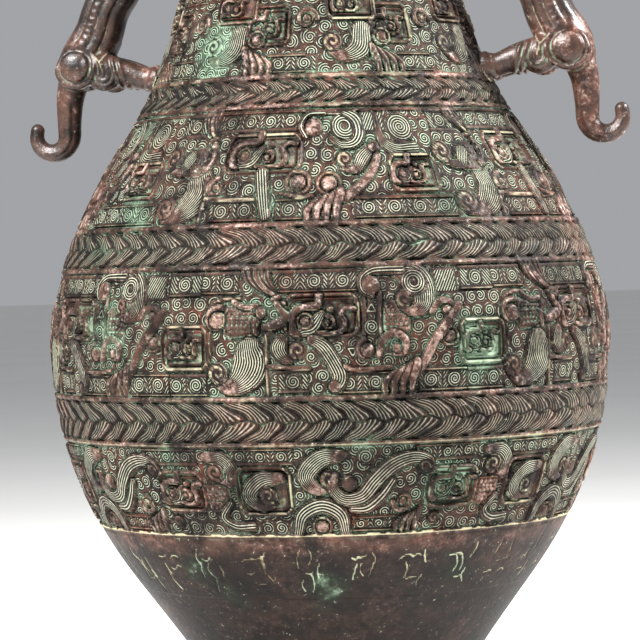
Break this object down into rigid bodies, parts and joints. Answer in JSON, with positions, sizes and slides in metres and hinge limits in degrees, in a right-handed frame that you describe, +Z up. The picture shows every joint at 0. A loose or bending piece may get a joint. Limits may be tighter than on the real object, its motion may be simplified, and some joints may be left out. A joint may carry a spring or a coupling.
{
  "type": "bronze hu vase",
  "caption": "Cast bronze hu vase, hollow and open at the mouth, on a flared foot ring, with relief bands, plaited mouldings and feline handles on the neck.",
  "frame": {"origin": "on the ground plane under the foot ring, at the vase's axis", "axes": "+Z up along the vase's axis, handles at +X and -X, front of the view towards -Y"},
  "size_m": [0.2974, 0.2716, 0.455],
  "materials": {
    "vessel_bronze": "dark red-brown patinated bronze with green corrosion and pale encrusted lines",
    "handle_bronze": "smoother red-brown patinated bronze with worn pinkish edges"
  },
  "bodies": {
    "root": {"vessel": "vessel_bronze", "handle_left": "handle_bronze", "handle_right": "handle_bronze"}
  },
  "joints": []
}
